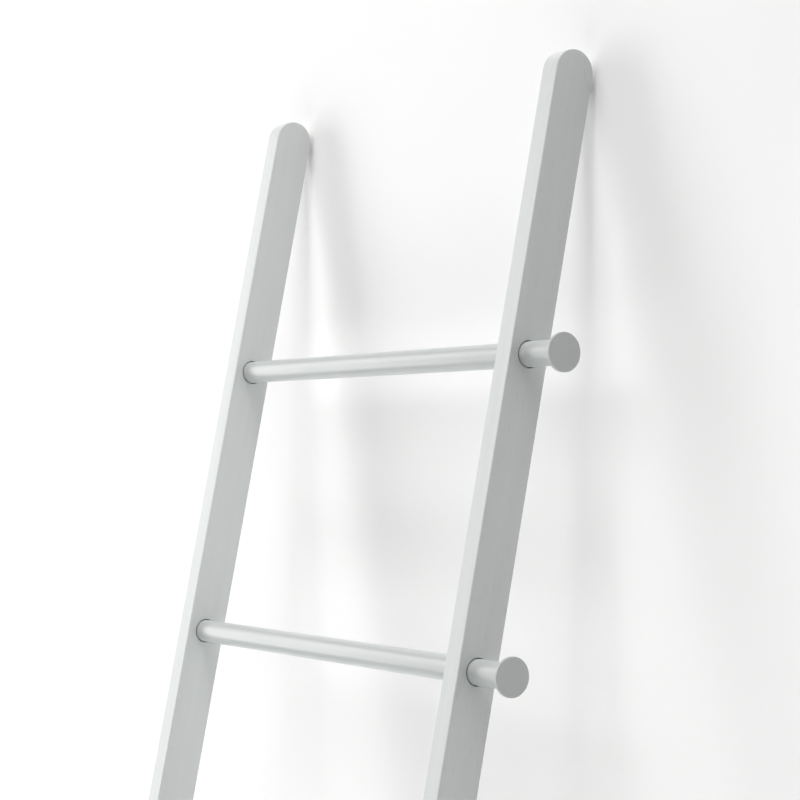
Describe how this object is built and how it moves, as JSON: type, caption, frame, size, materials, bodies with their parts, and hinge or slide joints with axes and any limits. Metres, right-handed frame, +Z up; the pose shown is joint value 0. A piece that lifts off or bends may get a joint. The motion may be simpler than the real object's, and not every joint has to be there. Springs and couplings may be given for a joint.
{
  "type": "towel ladder",
  "caption": "Leaning towel ladder with grey wooden stiles and tubular rungs that run through one stile to flared pegs; that stile slides to set the width.",
  "frame": {"origin": "on the floor, at the middle of the ladder's box as it leans in use", "axes": "+X along the rungs to the side with the pegs, +Y back to the wall, +Z up"},
  "size_m": [0.6126, 0.4052, 1.7937],
  "materials": {
    "stile_paint": "light grey paint, satin, fine grain showing through",
    "rung_coating": "light grey powder coating, satin",
    "plug_metal": "as turned",
    "screw_steel": "zinc plated",
    "bush_nylon": "black nylon",
    "foot_rubber": "dark grey rubber, matt"
  },
  "bodies": {
    "frame": {"left_stile": "stile_paint", "left_foot_pad": "foot_rubber", "rung_tube_1": "rung_coating", "rung_tube_2": "rung_coating", "rung_tube_3": "rung_coating", "rung_tube_4": "rung_coating", "rung_tube_5": "rung_coating", "peg_knob_1": "rung_coating", "peg_knob_2": "rung_coating", "peg_knob_3": "rung_coating", "peg_knob_4": "rung_coating", "peg_knob_5": "rung_coating", "threaded_plug_1": "plug_metal", "threaded_plug_2": "plug_metal", "threaded_plug_3": "plug_metal", "threaded_plug_4": "plug_metal", "threaded_plug_5": "plug_metal", "rung_screw_1": "screw_steel", "rung_screw_2": "screw_steel", "rung_screw_3": "screw_steel", "rung_screw_4": "screw_steel", "rung_screw_5": "screw_steel"},
    "sliding_stile": {"right_stile": "stile_paint", "right_foot_pad": "foot_rubber", "slide_bush_1": "bush_nylon", "slide_bush_2": "bush_nylon", "slide_bush_3": "bush_nylon", "slide_bush_4": "bush_nylon", "slide_bush_5": "bush_nylon"}
  },
  "joints": [
    {"name": "width_slide", "type": "slide", "parent": "frame", "child": "sliding_stile", "axis": [1, 0, 0], "range_m": [-0.153, 0.047]}
  ]
}
